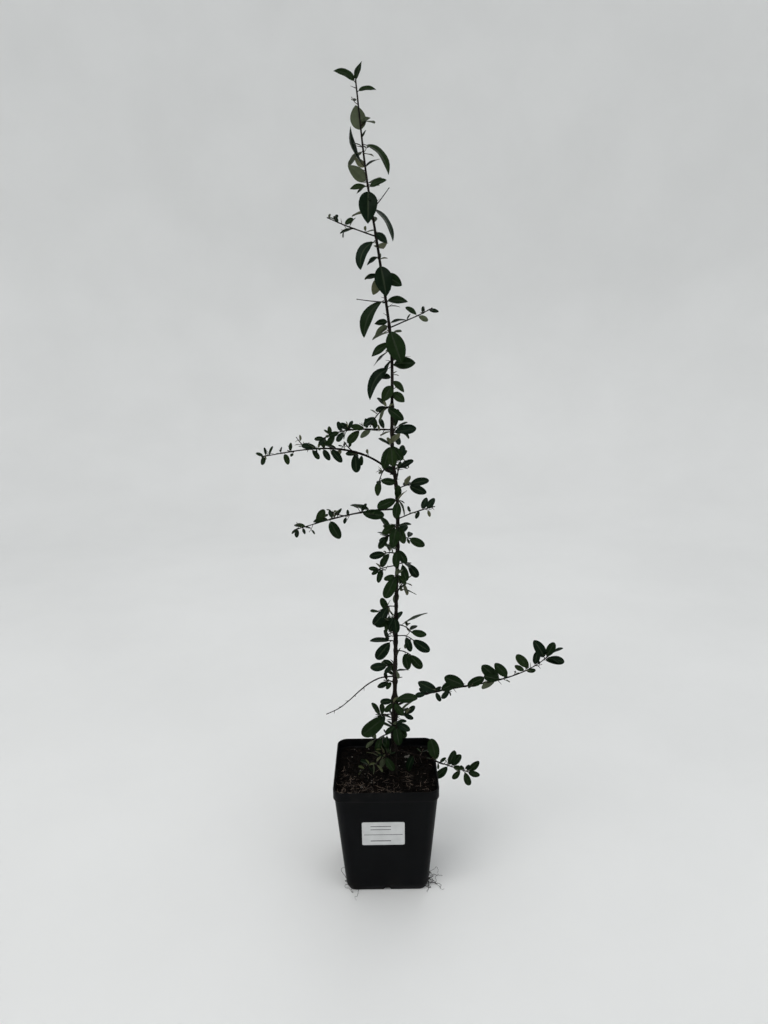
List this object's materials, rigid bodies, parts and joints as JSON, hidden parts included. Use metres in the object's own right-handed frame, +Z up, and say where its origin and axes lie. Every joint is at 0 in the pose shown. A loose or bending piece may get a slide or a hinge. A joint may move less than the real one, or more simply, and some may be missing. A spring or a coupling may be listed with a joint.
{
  "type": "potted firethorn",
  "caption": "Young evergreen firethorn trained upright in a square black plastic pot, with narrow side shoots, thorns and small glossy dark leaves.",
  "frame": {"origin": "centre of the pot's flat underside", "axes": "+Z up the stem, +X to the plant's right as seen from the front, -Y towards the front"},
  "size_m": [0.3399, 0.1474, 0.8911],
  "materials": {
    "pot_plastic": "satin black, moulded",
    "soil": "damp dark potting soil with tan fibres",
    "bark": "dark brown bark",
    "foliage": "glossy dark green leaves with duller olive undersides"
  },
  "bodies": {
    "root": {"pot": "pot_plastic", "soil": "soil", "trunk": "bark", "bare_twig": "bark", "bough_left_mid": "bark", "bough_left_low": "bark", "bough_right_branch": "bark", "bough_low_right": "bark", "leader": "foliage", "left_high": "foliage", "left_mid": "foliage", "left_low": "foliage", "right_branch": "foliage", "low_right": "foliage", "back_high": "foliage", "back_low": "foliage", "spur_left_23": "foliage", "spur_left_26": "foliage", "spur_left_29": "foliage", "spur_left_31": "foliage", "spur_left_33": "foliage", "spur_left_36": "foliage", "spur_left_38": "foliage", "spur_left_42": "foliage", "spur_left_48": "foliage", "spur_left_56": "foliage", "spur_right_27": "foliage", "spur_right_29": "foliage", "spur_right_31": "foliage", "spur_right_38": "foliage", "spur_right_41": "foliage", "spur_right_44": "foliage", "spur_right_47": "foliage", "spur_right_55": "foliage", "spur_front_51": "foliage", "spur_front_45": "foliage", "spur_front_42": "foliage", "spur_front_36": "foliage", "spur_front_25": "foliage", "spur_back_54": "foliage", "spur_back_41": "foliage", "spur_back_35": "foliage", "spur_back_24": "foliage", "tuft_left_20": "foliage", "tuft_left_18": "foliage", "tuft_left_16": "foliage", "tuft_front_18": "foliage", "tuft_front_15": "foliage", "tuft_right_19": "foliage", "tuft_back_17": "foliage", "spur_front_40": "foliage", "spur_front_32": "foliage", "spur_front_22": "foliage", "twig_left_73": "foliage", "twig_right_64": "foliage"}
  },
  "joints": []
}
